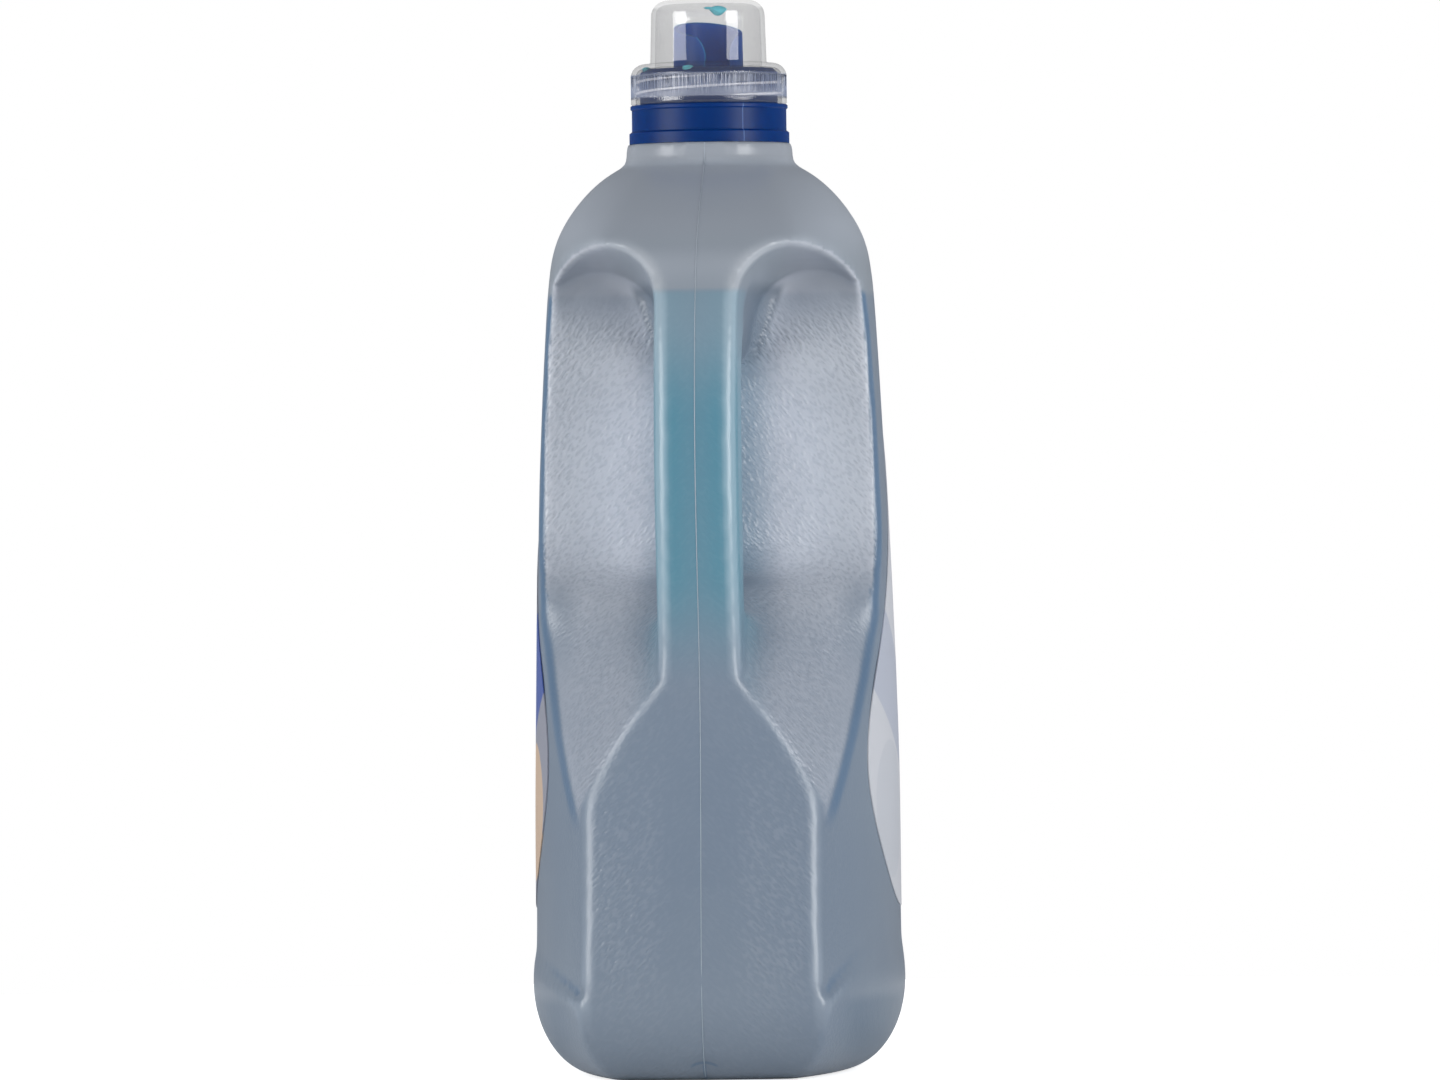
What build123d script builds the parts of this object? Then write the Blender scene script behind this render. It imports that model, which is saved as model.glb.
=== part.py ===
"""Laundry detergent bottle: blown jug with a through handle, pour spout, dosing cap, labels and fill.

Millimetres, Z up, origin under the middle of the base. The handle is at +X, the front label faces -Y.
"""

import os
from math import cos, hypot, radians, sin, sqrt, tan

from build123d import *

# Blown body: outer sizes, how far its ends bulge and draw in, and how far a cutter runs past what it cuts
HALF_WIDTH = 90.0
HALF_DEPTH = 55.2
SHOULDER_HALF_DEPTH = 49.4
SHOULDER_Z = 232.0
NECK_Z = 271.2
NECK_R = 24.9
DOME_TOP_R = 24.3
END_HALF_WIDTH = 36.2
SHOULDER_END_HALF = 31.1
CREASE_R = 4.0
SHOULDER_CORNER_R = 11.0
BASE_RUN = 19.0
BASE_RISE = 27.0
END_BULGE = 2.5
END_PULL = 0.61
NECK_CORNER = 0.715
NECK_BULGE = 0.265
WALL = 1.3
FLOOR = 4.0
OVERRUN = 40.0

# Sunk label panel above the base: its depth, how much deeper it is at the ends, and its arched lower edge
PANEL_SINK = 0.8
END_SINK = 2.4
STEP_FRONT_Z = 35.0
STEP_BACK_Z = 46.0
STEP_END_Z = 23.5
STEP_PROUD = 0.1

# Hand opening and handle
FAR_WALL_X = 12.0
RAMP_TOP_Z = 165.0
RIM_X = 26.0
GRIP_HALF = 12.5
GRIP_THICK = 32.0
GRIP_ROUND = 5.0
GRIP_INNER_R = 7.0
SPRING_Z = 229.0
ARCH_R = 19.0
CEILING_TILT = 10.0
CEILING_R = 6.0
RIDGE_X = 75.0
RIB_DROP = 9.0
ROOT_R = 16.0
FOOT_Z = 138.0
FOOT_LENGTH = 16.0
FOOT_R = 9.0

# Pinch-off notch and the hollow under the base
NOTCH_R = 3.6
NOTCH_DEPTH = 0.6
PUSH_UP = 2.4
PUSH_UP_RUN = 8.0
STAND_WIDTH = 9.0

# Neck finish
NECK_RING_H = 5.8
FINISH_R = 20.3
FINISH_H = 9.9
BORE_R = 18.4
SNAP_H = 0.9

# Pour spout
FIT = 0.3
FLANGE_R = 23.95
FLANGE_H = 3.8
BAND_R = 23.15
BAND_H = 6.3
BEAD_R = 23.55
BEAD_H = 1.5
COLLAR_R = 20.6
COLLAR_H = 10.8
COLLAR_WALL = 3.2
PLUG_LENGTH = 8.0
PLUG_WALL = 1.4
SPOUT_R = 10.6
SPOUT_TOP_R = 10.2
SPOUT_WALL = 1.2
SPOUT_H = 26.0
SLOT_HALF = 4.0
SLOT_LOW = 11.5
SLOT_TURN = 20.0
LIP_DROP = 4.2
LIP_TILT = 16.0

# Dosing cap
SEAT_GAP = 0.2
SKIRT_R = 23.35
SKIRT_H = 12.2
SKIRT_WALL = 1.4
SKIRT_ROUND = 4.0
CUP_R = 17.4
CUP_TOP_R = 17.0
CUP_H = 19.0
CUP_ROUND = 3.4
CUP_WALL = 1.25

# Labels and fill
FILM = 0.25
FILM_GAP = 0.02
FILL_Z = 231.5
FILL_GAP = 0.3

# Share of the half width reached by the handle side and the far side, at shares of the shoulder height
SIDE_LEVELS = [
    (0.155, 0.999, 0.999),
    (0.323, 0.935, 0.978),
    (0.496, 0.900, 0.958),
    (0.647, 0.960, 0.938),
    (0.776, 1.000, 0.918),
    (0.897, 0.964, 0.888),
    (1.000, 0.872, 0.826),
]
BASE_LEVELS = [0.0, 0.06, 0.2, 0.45, 0.75]
DOME_LEVELS = [0.33, 0.59, 0.79, 0.92, 1.0]

# Ramp under the hand opening, seen from the front: on the middle plane and on a plane beside it, and how
# much further than the wall its outline is drawn back, as the ramp slants away to both sides
RAMP_SLANT = 1.3
RAMP_SIDE_Y = 60.0
RAMP_MID = [(126, 55), (111, 93), (98, 112), (76.5, 130), (34, 146), (FAR_WALL_X, RAMP_TOP_Z)]
RAMP_SIDE = [(66, 55), (44, 93), (33.5, 112), (31.5, 130), (30, 146), (RIM_X, RAMP_TOP_Z)]

# Label outline seen from the front
LABEL = [(4, 49), (32, 63), (46, 88), (26, 131), (-10, 181), (-42, 212), (-62, 188), (-68, 120), (-52, 62)]

ring_top_z = NECK_Z + NECK_RING_H
finish_top_z = ring_top_z + FINISH_H
band_top_z = ring_top_z + FLANGE_H + BAND_H
bead_top_z = band_top_z + BEAD_H
deck_z = bead_top_z + COLLAR_H
cap_z = bead_top_z + SEAT_GAP
shoulder_top_z = cap_z + SKIRT_H
cap_top_z = shoulder_top_z + CUP_H


def side_depth(z):
    """Half depth of the body between base and shoulder: a slow taper."""
    share = max(z - BASE_RISE, 0) / (SHOULDER_Z - BASE_RISE)
    return HALF_DEPTH - (HALF_DEPTH - SHOULDER_HALF_DEPTH) * share**2.2


def dome_share(share):
    """One at the shoulder, nought at the neck, along a round arc seen from the end."""
    rise = NECK_Z - SHOULDER_Z
    drop = SHOULDER_HALF_DEPTH - DOME_TOP_R
    radius = (rise**2 + drop**2) / (2 * drop)
    return (sqrt(radius**2 - (rise * share) ** 2) - (radius - drop)) / drop


def plan(z, handle, far, depth, end, bulge, corner):
    """One level of the body: two bowed sides, two bowed ends, rounded corners."""
    with BuildSketch(Plane.XY.offset(z)) as level:
        with BuildLine():
            ThreePointArc((bulge - far, -end), (0, -depth), (handle - bulge, -end))
            ThreePointArc((handle - bulge, -end), (handle, 0), (handle - bulge, end))
            ThreePointArc((handle - bulge, end), (0, depth), (bulge - far, end))
            ThreePointArc((bulge - far, end), (-far, 0), (bulge - far, -end))
        make_face()
        fillet(level.vertices(), corner)
    return level.sketch


def base_plan(z, inset, sink=0.0):
    """The outline of the base, drawn in by an inset."""
    reach = HALF_WIDTH * SIDE_LEVELS[0][1] - inset
    end = END_HALF_WIDTH - END_PULL * inset - END_SINK * sink
    return plan(z, reach, reach, HALF_DEPTH - inset - sink, end, END_BULGE, CREASE_R)


def base_level(z, inset, sink):
    """A level of the softly rounded base."""
    share = 1 - min(z / BASE_RISE, 1)
    return base_plan(z, inset + BASE_RUN * (1 - sqrt(1 - share**2)), sink)


def side_level(share, handle, far, inset, sink):
    """A level of the body from the base to the shoulder."""
    z = share * SHOULDER_Z
    end = END_HALF_WIDTH + (SHOULDER_END_HALF - END_HALF_WIDTH) * share**4
    corner = CREASE_R + (SHOULDER_CORNER_R - CREASE_R) * share**4
    return plan(
        z,
        HALF_WIDTH * handle - inset,
        HALF_WIDTH * far - inset,
        side_depth(z) - inset - sink,
        end - END_PULL * inset - END_SINK * sink,
        END_BULGE + share**4,
        corner,
    )


def dome_level(share, inset, sink):
    """A level of the shoulder, from the side outline to the nearly round neck."""
    z = SHOULDER_Z + (NECK_Z - SHOULDER_Z) * share - inset * share
    blend = 1 - share**1.65
    depth = DOME_TOP_R + (SHOULDER_HALF_DEPTH - DOME_TOP_R) * dome_share(share)
    handle = DOME_TOP_R + (HALF_WIDTH * SIDE_LEVELS[-1][1] - DOME_TOP_R) * blend
    far = DOME_TOP_R + (HALF_WIDTH * SIDE_LEVELS[-1][2] - DOME_TOP_R) * blend
    neck_end = NECK_CORNER * DOME_TOP_R
    end = neck_end + (SHOULDER_END_HALF - neck_end) * blend
    shoulder_bulge = END_BULGE + 1
    sink *= 1 - share
    return plan(
        z,
        handle - inset,
        far - inset,
        depth - inset - sink,
        end - NECK_CORNER * inset - END_SINK * sink,
        shoulder_bulge + (NECK_BULGE * DOME_TOP_R - shoulder_bulge) * share,
        SHOULDER_CORNER_R + 3 * min(2 * share, 1),
    )


def jug_form(inset, sink, floor=0.0):
    """The jug without its hand opening, drawn in by an inset."""
    levels = [base_level(floor + BASE_RISE * share, inset, sink) for share in BASE_LEVELS]
    levels += [side_level(*row, inset, sink) for row in SIDE_LEVELS]
    levels += [dome_level(share, inset, sink) for share in DOME_LEVELS]
    return loft(levels)


def below_step(middle_z, reach):
    """Everything under the arched step on one side of the middle plane."""
    end_x = HALF_WIDTH * SIDE_LEVELS[0][1] - CREASE_R
    far_x = end_x + OVERRUN
    with BuildSketch(Plane.XZ) as below:
        with BuildLine():
            arch = ThreePointArc((-end_x, STEP_END_Z), (0, middle_z), (end_x, STEP_END_Z))
            Polyline(arch @ 1, (far_x, STEP_END_Z), (far_x, -OVERRUN))
            Polyline((far_x, -OVERRUN), (-far_x, -OVERRUN), (-far_x, STEP_END_Z), arch @ 0)
        make_face()
    return extrude(below.sketch, amount=reach)


def base_form(inset=0.0):
    """The fuller base below the arched edge of the label panel, drawn in by an inset."""
    heights = [BASE_RISE * share for share in BASE_LEVELS] + [BASE_RISE, STEP_BACK_Z + CREASE_R]
    levels = [base_level(z, inset - STEP_PROUD, -STEP_PROUD) for z in heights]
    reach = 2 * HALF_DEPTH
    return loft(levels) & (below_step(STEP_FRONT_Z, reach) + below_step(STEP_BACK_Z, -reach))


def drawn_back(points, distance):
    """All points but the last, moved back square to the line through their neighbours."""
    moved = []
    for i, (x, z) in enumerate(points[:-1]):
        x0, z0 = points[max(i - 1, 0)]
        x1, z1 = points[i + 1]
        length = hypot(x1 - x0, z1 - z0)
        moved.append((x - distance * (z1 - z0) / length, z + distance * (x1 - x0) / length))
    return moved


def ramp_profile(y, points, grow):
    """Outline of the hand opening on one plane: ramp, then the upright far wall."""
    plane = Plane(origin=(0, y, 0), x_dir=(1, 0, 0), z_dir=(0, -1, 0))
    wall_x = points[-1][0] - grow
    ramp = drawn_back(points, RAMP_SLANT * grow) + [(wall_x, points[-1][1])]
    top_z = NECK_Z - 2 * FOOT_R
    far_x = 2 * HALF_WIDTH
    with BuildSketch(plane) as profile:
        with BuildLine():
            Spline(*ramp, tangents=[(-0.5, 1), (0, 1)])
            Polyline(ramp[-1], (wall_x, top_z), (far_x, top_z), (far_x, ramp[0][1]), ramp[0])
        make_face()
    return profile.sketch


def scoop(grow):
    """Everything in front of the far wall and above the ramp, on one side of the middle plane."""
    reach = 4 / 3
    outer = [
        tuple(mid + (side - mid) * reach for mid, side in zip(mid_point, side_point))
        for mid_point, side_point in zip(RAMP_MID, RAMP_SIDE)
    ]
    sides = [ramp_profile(0, RAMP_MID, grow), ramp_profile(RAMP_SIDE_Y * reach, outer, grow)]
    return loft(sides, ruled=True)


def under_arches(grow):
    """The space under the two arches beside the handle, its ceiling falling towards the far wall."""
    inner = GRIP_HALF - grow
    radius = ARCH_R + grow
    side_y = HALF_DEPTH + OVERRUN

    def on_arch(degrees):
        turn = radians(degrees)
        return GRIP_HALF + ARCH_R + radius * cos(turn), SPRING_Z + radius * sin(turn)

    with BuildSketch(Plane.YZ.offset(RIDGE_X)) as outline:
        with BuildLine():
            Polyline((0, BASE_RISE), (0, SPRING_Z), (inner, SPRING_Z))
            ThreePointArc((inner, SPRING_Z), on_arch(98), on_arch(16))
            Polyline(on_arch(16), (side_y, SPRING_Z - 14), (side_y, BASE_RISE), (0, BASE_RISE))
        make_face()
        mirror(about=Plane.YZ)
    slope = Vector(cos(radians(CEILING_TILT)), 0, sin(radians(CEILING_TILT)))
    return extrude(outline.sketch, amount=HALF_WIDTH, dir=slope, both=True)


def handle_bar(shrink):
    """The upright of the handle and the rib that ties it to the far wall, inner edges rounded."""
    half = GRIP_HALF - shrink
    inner_x = HALF_WIDTH - GRIP_THICK + shrink
    outer_x = HALF_WIDTH + OVERRUN
    wall_x = FAR_WALL_X - shrink - FIT
    foot = (inner_x, FOOT_Z - shrink)
    tilt = tan(radians(CEILING_TILT))
    rib_z = SPRING_Z - RIB_DROP + shrink - (RIDGE_X - inner_x) * tilt
    root = (inner_x, rib_z)
    rib_end = (wall_x, rib_z - (inner_x - wall_x) * tilt)
    foot_x = inner_x - FOOT_LENGTH
    below = [(outer_x, FOOT_Z - OVERRUN), (foot_x, FOOT_Z - OVERRUN), (foot_x, FOOT_Z - shrink)]
    behind = [(wall_x, RAMP_TOP_Z), (-OVERRUN, RAMP_TOP_Z), (-OVERRUN, NECK_Z), (outer_x, NECK_Z)]
    with BuildSketch(Plane.XZ) as side:
        with BuildLine():
            Polyline(*below, foot, root, rib_end, *behind, close=True)
        make_face()
        for corner, radius in ((foot, FOOT_R), (root, ROOT_R)):
            fillet(side.vertices().sort_by_distance((*corner, 0))[0], radius)
    bar = extrude(side.sketch, amount=half, both=True)
    inner = [
        edge
        for edge in bar.edges()
        if all(abs(abs((edge @ t).Y) - half) < 0.01 for t in (0, 0.5, 1))
        and wall_x - 1 < (edge @ 0.5).X < inner_x + 1
        and FOOT_Z + 1 < (edge @ 0.5).Z < SPRING_Z
    ]
    return fillet(inner, GRIP_INNER_R - shrink)


def grip_skin(shrink):
    """Rounds the two outer edges of the handle, fading out at both of its roots."""
    levels = []
    for (share, reach, _), fade in zip(SIDE_LEVELS[2:], (6.0, 0.9, 0.6, 0.9, 6.0)):
        outer = HALF_WIDTH * reach + fade - shrink
        with BuildSketch(Plane.XY.offset(share * SHOULDER_Z)) as level:
            with BuildLine():
                half = GRIP_HALF - shrink
                Polyline((-OVERRUN, -half), (outer, -half), (outer, half), (-OVERRUN, half), close=True)
            make_face()
            fillet(level.vertices().filter_by(lambda v: v.X > 0), GRIP_ROUND - shrink)
        levels.append(level.sketch)
    return loft(levels)


def hand_opening(grow):
    """The cutter for the hand opening; growing it by the wall gives the hollow inside."""
    half = scoop(grow) & under_arches(grow)
    ceiling = [
        edge
        for edge in half.edges()
        if abs((edge @ 0.5).X - FAR_WALL_X) < RIM_X
        and (edge @ 0.5).Z > RAMP_TOP_Z + CEILING_R
        and GRIP_HALF < abs((edge @ 0.5).Y) < HALF_DEPTH + FIT
    ]
    half = fillet(ceiling, CEILING_R)
    opening = half + mirror(half, about=Plane.XZ)
    bar = handle_bar(grow)
    low_z = SIDE_LEVELS[2][0] * SHOULDER_Z
    middle_z = (low_z + SHOULDER_Z) / 2
    grip_zone = Pos(HALF_WIDTH, 0, middle_z) * Box(4 * HALF_WIDTH, 4 * GRIP_HALF, SHOULDER_Z - low_z)
    bar = (bar - grip_zone) + (bar & grip_skin(grow))
    return opening - bar


def hollow(inset):
    """The inside of the jug, drawn in from its outside."""
    return jug_form(inset, PANEL_SINK, FLOOR) - hand_opening(inset)


def bottle():
    """The one-piece blown jug: body, base, hand opening, handle and neck."""
    outer = jug_form(0, PANEL_SINK) + base_form() - hand_opening(0)
    upright = (Align.CENTER, Align.CENTER, Align.MIN)
    ring = Pos(0, 0, NECK_Z) * Cylinder(NECK_R, NECK_RING_H, align=upright)
    finish = Pos(0, 0, NECK_Z) * Cylinder(FINISH_R, finish_top_z - NECK_Z, align=upright)
    snap = Pos(0, 0, ring_top_z + FINISH_H / 2) * Cylinder(FINISH_R + SNAP_H, 2 * SNAP_H)
    bore = Pos(0, 0, SHOULDER_Z) * Cylinder(BORE_R, finish_top_z, align=upright)
    jug = outer + ring + finish + snap - hollow(WALL) - bore
    rim = BASE_RUN + STAND_WIDTH
    push_up = loft([base_plan(-STEP_PROUD, rim), base_plan(PUSH_UP, rim + PUSH_UP_RUN)], ruled=True)
    pinch = Pos(HALF_WIDTH - BASE_RUN, 0, NOTCH_R) * Rot(0, 90, 0) * Cylinder(NOTCH_R, OVERRUN, align=upright)
    return jug - push_up - (pinch - base_form(NOTCH_DEPTH))


def pour_spout():
    """The press-fitted fitment: skirt with flange and bead, collar for the cap, drain bowl, slotted spout."""
    seat_z = finish_top_z + FIT
    snap_z = ring_top_z + FINISH_H / 2
    inner_r = FINISH_R + FIT
    groove_r = inner_r + SNAP_H
    plug_r = BORE_R - FIT
    bowl_r = COLLAR_R - COLLAR_WALL
    floor_z = bead_top_z + 0.6
    tube_top = floor_z + SPOUT_H
    skirt = [
        (inner_r, ring_top_z),
        (FLANGE_R, ring_top_z),
        (FLANGE_R, ring_top_z + FLANGE_H - 0.6),
        (BAND_R, ring_top_z + FLANGE_H),
        (BAND_R, band_top_z),
        (BEAD_R, band_top_z + 0.4),
        (BEAD_R, bead_top_z - 0.3),
        (BEAD_R - 0.3, bead_top_z),
    ]
    collar = [
        (COLLAR_R, bead_top_z),
        (COLLAR_R, deck_z - 1.2),
        (COLLAR_R - 1.2, deck_z),
        (bowl_r + 0.6, deck_z),
    ]
    bowl = [(bowl_r, deck_z - 0.6), (bowl_r - 0.6, floor_z + 1.8), (SPOUT_R, floor_z)]
    tube = [
        (SPOUT_TOP_R, tube_top),
        (SPOUT_TOP_R - SPOUT_WALL, tube_top),
        (SPOUT_R - SPOUT_WALL, floor_z - 1.6),
    ]
    plug = [
        (plug_r - PLUG_WALL, floor_z),
        (plug_r - PLUG_WALL, floor_z - PLUG_LENGTH),
        (plug_r - 0.5, floor_z - PLUG_LENGTH),
        (plug_r, floor_z - PLUG_LENGTH + 1.5),
        (plug_r, seat_z),
        (inner_r, seat_z),
    ]
    groove = [
        (inner_r, snap_z + SNAP_H + FIT),
        (groove_r, snap_z + SNAP_H),
        (groove_r, snap_z - SNAP_H - FIT),
        (inner_r, snap_z - SNAP_H - 2 * FIT),
    ]
    with BuildSketch(Plane.XZ) as half:
        with BuildLine():
            Polyline(*skirt, *collar, *bowl, *tube, *plug, *groove, close=True)
        make_face()
    fitment = revolve(half.sketch, Axis.Z)
    bottom_z = floor_z + FIT
    low_z = floor_z + SLOT_LOW
    side_z = tube_top - LIP_DROP
    wide = SPOUT_R + LIP_DROP
    top_z = tube_top + LIP_DROP
    with BuildSketch(Plane.YZ) as gap:
        with BuildLine():
            Polyline((0, bottom_z), (SLOT_HALF, bottom_z), (SLOT_HALF, low_z))
            ThreePointArc((SLOT_HALF, low_z), (1.4 * SLOT_HALF, side_z - 3), (SPOUT_R, side_z))
            Polyline((SPOUT_R, side_z), (wide, side_z), (wide, top_z), (0, top_z), (0, bottom_z))
        make_face()
        mirror(about=Plane.YZ)
    slot = extrude(gap.sketch, amount=wide)
    above = Box(4 * SPOUT_R, 4 * SPOUT_R, SPOUT_H, align=(Align.CENTER, Align.CENTER, Align.MIN))
    rim = Pos(0, 0, tube_top - LIP_DROP) * Rot(0, LIP_TILT, 0) * above
    return fitment - Rot(0, 0, SLOT_TURN) * (slot + rim)


def dosing_cap():
    """The two-step cap: a wide skirt over the collar and a measuring cup over the spout."""
    cup_top_in = cap_top_z - CUP_WALL
    ledge_in = shoulder_top_z - CUP_WALL
    skirt_in = SKIRT_R - SKIRT_WALL
    cup_in = CUP_R - CUP_WALL
    edge_in = CUP_TOP_R - CUP_WALL
    cup_round_in = CUP_ROUND - CUP_WALL
    ledge_round_in = SKIRT_ROUND - SKIRT_WALL
    skirt_edge = (SKIRT_R, shoulder_top_z - SKIRT_ROUND)
    ledge_edge = (SKIRT_R - SKIRT_ROUND, shoulder_top_z)
    cup_edge = (CUP_TOP_R, cap_top_z - CUP_ROUND)
    top_edge = (CUP_TOP_R - CUP_ROUND, cap_top_z)
    top_edge_in = (edge_in - cup_round_in, cup_top_in)
    cup_edge_in = (edge_in, cup_top_in - cup_round_in)
    ledge_edge_in = (skirt_in - ledge_round_in, ledge_in)
    skirt_edge_in = (skirt_in, ledge_in - ledge_round_in)
    with BuildSketch(Plane.XZ) as half:
        with BuildLine():
            Polyline((skirt_in, cap_z), (SKIRT_R, cap_z), skirt_edge)
            RadiusArc(skirt_edge, ledge_edge, -SKIRT_ROUND)
            Polyline(ledge_edge, (CUP_R, shoulder_top_z), cup_edge)
            RadiusArc(cup_edge, top_edge, -CUP_ROUND)
            Polyline(top_edge, (0, cap_top_z), (0, cup_top_in), top_edge_in)
            RadiusArc(top_edge_in, cup_edge_in, cup_round_in)
            Polyline(cup_edge_in, (cup_in, ledge_in), ledge_edge_in)
            RadiusArc(ledge_edge_in, skirt_edge_in, ledge_round_in)
            Line(skirt_edge_in, (skirt_in, cap_z))
        make_face()
    return revolve(half.sketch, Axis.Z)


def label(side):
    """A thin film on the sunk panel; side is -1 at the front and 1 at the back."""
    with BuildSketch(Plane.XZ) as outline:
        with BuildLine():
            Spline(*LABEL, periodic=True)
        make_face()
    prism = extrude(outline.sketch, amount=-2 * side * HALF_DEPTH)
    return (jug_form(0, PANEL_SINK - FILM - FILM_GAP) & prism) - jug_form(0, PANEL_SINK - FILM_GAP)


def detergent():
    """The liquid in the jug up to its level."""
    wide = 3 * HALF_WIDTH
    below = Pos(0, 0, FILL_Z) * Box(wide, wide, wide, align=(Align.CENTER, Align.CENTER, Align.MAX))
    return hollow(WALL + FILL_GAP) & below


NODES = {
    "bottle": bottle,
    "pour_spout": pour_spout,
    "dosing_cap": dosing_cap,
    "front_label": lambda: label(-1),
    "back_label": lambda: label(1),
    "detergent": detergent,
}

os.makedirs("parts", exist_ok=True)
for name, make in NODES.items():
    solid = make().solid()
    export_step(solid, f"parts/{name}.step")
    print(name, solid.is_valid, round(solid.volume / 1000, 2), "cm3")
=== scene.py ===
"""Looks of the detergent bottle: pearly blown jug, deep blue pour spout, clear dosing cap, film labels."""

import math

import bmesh
import bpy
import numpy as np
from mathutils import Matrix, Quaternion, Vector


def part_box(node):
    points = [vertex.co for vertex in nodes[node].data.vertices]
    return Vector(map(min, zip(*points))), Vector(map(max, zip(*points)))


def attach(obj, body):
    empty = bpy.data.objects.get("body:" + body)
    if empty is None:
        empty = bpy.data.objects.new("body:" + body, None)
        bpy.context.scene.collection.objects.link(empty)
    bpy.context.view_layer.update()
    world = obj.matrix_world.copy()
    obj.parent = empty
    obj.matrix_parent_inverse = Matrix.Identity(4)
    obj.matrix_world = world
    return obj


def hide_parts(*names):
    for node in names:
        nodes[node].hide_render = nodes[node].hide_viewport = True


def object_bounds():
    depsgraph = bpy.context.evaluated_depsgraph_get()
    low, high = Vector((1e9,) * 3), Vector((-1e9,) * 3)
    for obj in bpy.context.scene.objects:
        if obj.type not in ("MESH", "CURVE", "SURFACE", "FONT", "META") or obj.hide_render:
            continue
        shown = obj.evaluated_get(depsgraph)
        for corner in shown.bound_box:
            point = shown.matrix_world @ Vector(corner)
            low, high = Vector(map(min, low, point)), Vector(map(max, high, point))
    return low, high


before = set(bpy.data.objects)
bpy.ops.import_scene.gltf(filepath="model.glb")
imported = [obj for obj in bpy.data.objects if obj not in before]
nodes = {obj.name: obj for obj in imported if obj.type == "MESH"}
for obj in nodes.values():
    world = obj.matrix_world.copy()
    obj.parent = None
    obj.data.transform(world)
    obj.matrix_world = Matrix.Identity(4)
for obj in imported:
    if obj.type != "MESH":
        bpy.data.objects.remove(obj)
cad_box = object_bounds()
MM = 0.001

# Distances in metres below which places count as one, and the smallest square of an edge in millimetres
TINY = 1e-7
MERGE = 1e-6
SMALLEST_SQUARE = 1e-4

# Places read from the frame, in metres
neck_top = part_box("bottle")[1].z
flange_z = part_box("pour_spout")[0].z
cap_low, cap_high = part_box("dosing_cap")
liquid_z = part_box("detergent")[1].z

# Jug skin: the size of its faces, the rounds that soften it, and how its two skins part at the neck
VOXEL = 1.42 * MM
SOFT_ROUNDS = 16
CRISP_ROUNDS = 2
RUN_OUT_ROUNDS = 59
RELAX_STEP = 0.5
BEND_ROUNDS = 2
LEVEL_FACE = 0.9
RIM_BAND = 0.1 * MM
CAVITY_RISE = 6 * MM

# Parting line: its bead, the spacing of its sections, how far it keeps inside the CAD box, and its two ends
SEAM_BEAD = 0.15 * MM
SEAM_SPACING = 1.5 * MM
SEAM_SIDES = 8
SEAM_CLEARANCE = 0.03 * MM
SEAM_LOW = 1.0 * MM
SEAM_GAP = 0.2 * MM

# Tones of the jug as they look on screen, 0 to 255
DRY_TONE = (137, 146, 156)
# Painted light: the shoulder is toned paler to offset its shading
SHOULDER_LIGHT_TONE = (160, 168, 179)
NECK_TONE = (148, 154, 163)
WET_AND_HOLLOW_SHADE_TONE = (116, 130, 147)
WET_CLOUD = (122, 135, 150)
# Painted light: the pale tone brightens the recess walls, the arch ceilings, the flared facets, the end
# panel and the grain crests; the rim and wall-top tones brighten the walls further
PAINTED_LIGHT_TONE = (184, 189, 200)
PAINTED_RIM_LIGHT_TONE = (208, 212, 221)
WALL_TOP_LIGHT_TONE = (232, 235, 242)
SHADE_TONE = (112, 134, 152)
# Painted shade on the web beside the top of the handle
WEB_SHADE_TONE = (88, 102, 117)
# Painted highlights along the ridges
RIDGE_HIGHLIGHT_TONE = (174, 194, 207)
FOOT_RIDGE_HIGHLIGHT_TONE = (160, 172, 186)
DRY_RIDGE_HIGHLIGHT_TONE = (178, 184, 191)
# Painted shade for the rim and step lines, also the tone of the pinch-off mark
RIM_SHADE_AND_MARK_TONE = (92, 116, 142)
TEAL_TONE = (82, 132, 151)
TEAL_TOP_TONE = (118, 143, 158)
BASE_TONE = (98, 116, 135)
SEAM_DRY_TONE = (164, 171, 180)
SEAM_WET_TONE = (140, 157, 170)
SEAM_CLOUD = (158, 168, 180)

# How much of a tone is mixed in, or lost, where its zone is full
PAINTED_LIGHT_SHARE = 0.85
FLARE_HIGHLIGHT_SHARE = 0.46
PANEL_LIGHT_SHARE = 0.03
UNDER_LIGHT_SHARE = 0.85
SILL_LIGHT_SHARE = 0.6
WALL_TOP_LIGHT_SHARE = 0.48
WEB_SHADE_SHARE = 0.68
RIDGE_HIGHLIGHT_SHARE = 0.5
PINCH_SHARE = 0.7
STEP_SHADE_SHARE = 0.8
TEAL_MIDDLE_LOSS = 0.16
CORNER_LOSS = 0.7

# Softness of the liquid's level on the jug and on its seam, and the clouds below it
LEVEL_SOFTNESS = 1.2 * MM
SEAM_SOFTNESS = 2 * MM
CLOUD_SCALE = 18
CLOUD_SPAN = (0.3, 0.72)

# Mould grain: wrinkles per metre, their stretch along the slant, and the heights that they make, with
# painted shade in the hollows and a painted highlight on the crests
GRAIN = 900
GRAIN_STRETCH = 0.45
GRAIN_HEIGHT = 0.34 * MM
GRAIN_FLOOR = 0.3
WRINKLE_HEIGHT = 0.8
PATCH_SCALE = 0.7
PATCH_HEIGHT = 0.6
HOLLOW_SPAN = (0.72, 0.46)
HOLLOW_SHADE_SHARE = 0.2
CREST_SPAN = (0.6, 0.85)
CREST_HIGHLIGHT_SHARE = 0.09
RIDGE_SMOOTHING = 0.85

# Zones of the jug's tones: an axis, where the zone starts on it and where it is full, in millimetres
TEAL_ZONE = (("x", 50, 60), ("side", 19, 12.5), ("z", 112, 152))
TEAL_MIDDLE = (("side", 7, 1),)
TEAL_TOP_ZONE = (("z", 192, 226),)
SHOULDER_ZONE = (("z", 238, 254),)
NECK_ZONE = (("z", 270, 273),)
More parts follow.
